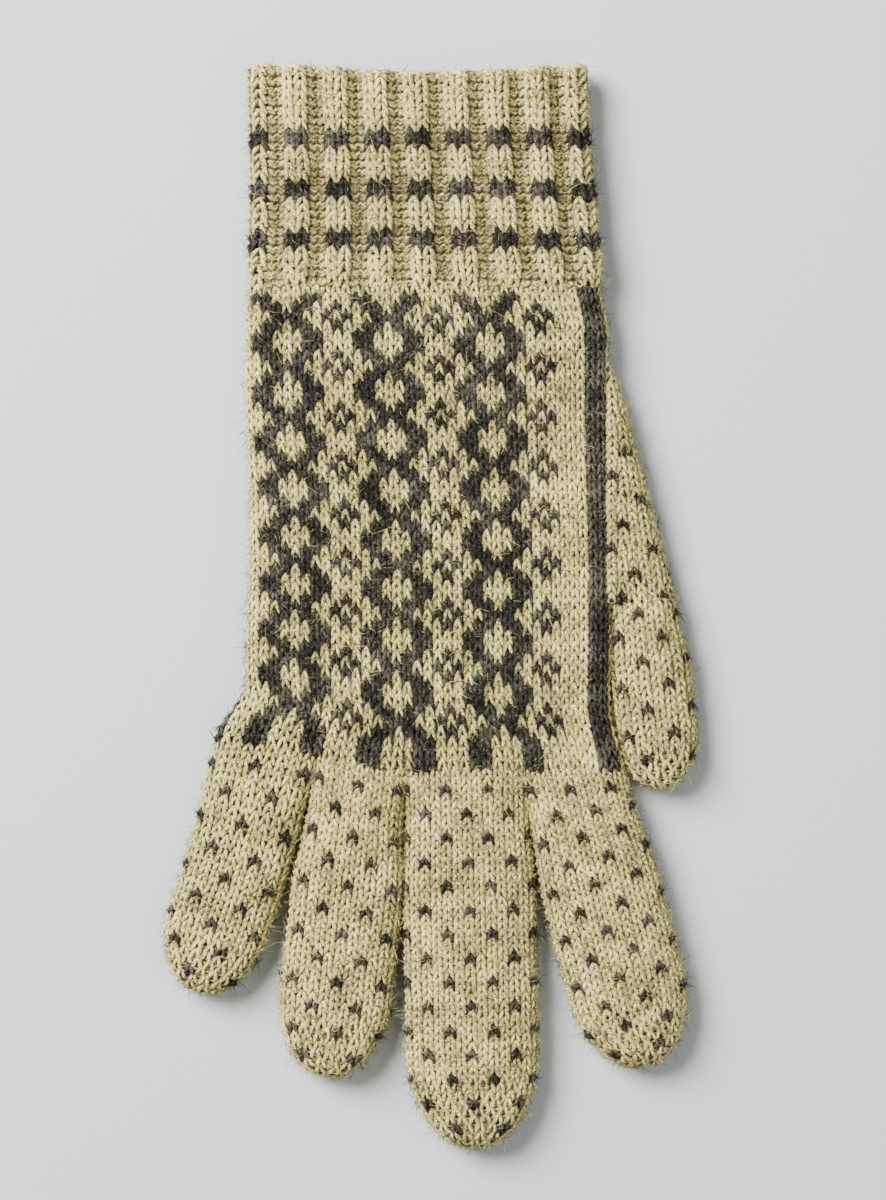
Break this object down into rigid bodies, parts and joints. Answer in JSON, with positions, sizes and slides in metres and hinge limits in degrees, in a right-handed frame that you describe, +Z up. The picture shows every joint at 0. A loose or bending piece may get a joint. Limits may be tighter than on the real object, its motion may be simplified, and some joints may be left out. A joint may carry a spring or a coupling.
{
  "type": "knitted glove",
  "caption": "Stranded knitted wool glove for the right hand, lying on its palm, with a ribbed cuff and fingers that fold up.",
  "frame": {"origin": "middle of the glove's outline, on the surface that its palm lies on", "axes": "+Y from the fingertips to the cuff, +Z up out of the back of the hand, +X towards the thumb"},
  "size_m": [0.1286, 0.2604, 0.0124],
  "materials": {
    "cream_wool": "lightly felted hand-knitted wool, matt, with a short halo",
    "dark_wool": "heathered natural dark grey wool, matt, with a short halo"
  },
  "bodies": {
    "hand": {"hand_back": "cream_wool", "hand_palm": "cream_wool", "thumb_side_stripe": "dark_wool", "little_side_stripe": "dark_wool", "thumb_gusset": "cream_wool", "bridge_little_ring": "cream_wool", "bridge_ring_middle": "cream_wool", "bridge_middle_index": "cream_wool"},
    "cuff": {"cuff": "cream_wool", "cast_on_edge": "cream_wool"},
    "little_lower": {"little_lower_section": "cream_wool"},
    "little_middle": {"little_middle_section": "cream_wool"},
    "little_tip": {"little_tip_section": "cream_wool"},
    "ring_lower": {"ring_lower_section": "cream_wool"},
    "ring_middle": {"ring_middle_section": "cream_wool"},
    "ring_tip": {"ring_tip_section": "cream_wool"},
    "middle_lower": {"middle_lower_section": "cream_wool"},
    "middle_middle": {"middle_middle_section": "cream_wool"},
    "middle_tip": {"middle_tip_section": "cream_wool"},
    "index_lower": {"index_lower_section": "cream_wool"},
    "index_middle": {"index_middle_section": "cream_wool"},
    "index_tip": {"index_tip_section": "cream_wool"},
    "thumb_lower": {"thumb_lower_section": "cream_wool"},
    "thumb_tip": {"thumb_tip_section": "cream_wool"}
  },
  "joints": [
    {"name": "wrist_fold", "type": "hinge", "parent": "hand", "child": "cuff", "pos_m": [-0.0009, 0.0772, 0.00868], "axis": [1, 0, 0], "range_deg": [0, 90]},
    {"name": "little_root_fold", "type": "hinge", "parent": "hand", "child": "little_lower", "pos_m": [-0.04221, -0.0478, 0.00784], "axis": [-1, 0, 0], "range_deg": [0, 80]},
    {"name": "little_knuckle_fold", "type": "hinge", "parent": "little_lower", "child": "little_middle", "pos_m": [-0.04754, -0.06394, 0.00784], "axis": [-0.9494, 0.314, 0], "range_deg": [0, 70]},
    {"name": "little_end_fold", "type": "hinge", "parent": "little_middle", "child": "little_tip", "pos_m": [-0.05194, -0.07723, 0.00784], "axis": [-0.9494, 0.314, 0], "range_deg": [0, 42]},
    {"name": "ring_root_fold", "type": "hinge", "parent": "hand", "child": "ring_lower", "pos_m": [-0.01813, -0.0478, 0.00784], "axis": [-1, 0, 0], "range_deg": [0, 80]},
    {"name": "ring_knuckle_fold", "type": "hinge", "parent": "ring_lower", "child": "ring_middle", "pos_m": [-0.0207, -0.07066, 0.00784], "axis": [-0.9938, 0.1115, 0], "range_deg": [0, 70]},
    {"name": "ring_end_fold", "type": "hinge", "parent": "ring_middle", "child": "ring_tip", "pos_m": [-0.02293, -0.09053, 0.00784], "axis": [-0.9938, 0.1115, 0], "range_deg": [0, 42]},
    {"name": "middle_root_fold", "type": "hinge", "parent": "hand", "child": "middle_lower", "pos_m": [0.00835, -0.0478, 0.00784], "axis": [-1, 0, 0], "range_deg": [0, 80]},
    {"name": "middle_knuckle_fold", "type": "hinge", "parent": "middle_lower", "child": "middle_middle", "pos_m": [0.00899, -0.07579, 0.00784], "axis": [-0.9997, -0.0227, 0], "range_deg": [0, 70]},
    {"name": "middle_end_fold", "type": "hinge", "parent": "middle_middle", "child": "middle_tip", "pos_m": [0.00958, -0.10179, 0.00784], "axis": [-0.9997, -0.0227, 0], "range_deg": [0, 42]},
    {"name": "index_root_fold", "type": "hinge", "parent": "hand", "child": "index_lower", "pos_m": [0.03542, -0.0478, 0.00784], "axis": [-1, 0, 0], "range_deg": [0, 80]},
    {"name": "index_knuckle_fold", "type": "hinge", "parent": "index_lower", "child": "index_middle", "pos_m": [0.04122, -0.07006, 0.00784], "axis": [-0.9677, -0.2521, 0], "range_deg": [0, 70]},
    {"name": "index_end_fold", "type": "hinge", "parent": "index_middle", "child": "index_tip", "pos_m": [0.04626, -0.08941, 0.00784], "axis": [-0.9677, -0.2521, 0], "range_deg": [0, 42]},
    {"name": "thumb_swing", "type": "hinge", "parent": "hand", "child": "thumb_lower", "pos_m": [0.05811, 0.0023, 0.0052], "axis": [0, 0, 1], "range_deg": [0, 30]},
    {"name": "thumb_fold", "type": "hinge", "parent": "thumb_lower", "child": "thumb_tip", "pos_m": [0.05326, -0.02037, 0.00728], "axis": [-0.994, -0.1097, 0], "range_deg": [0, 70]}
  ]
}
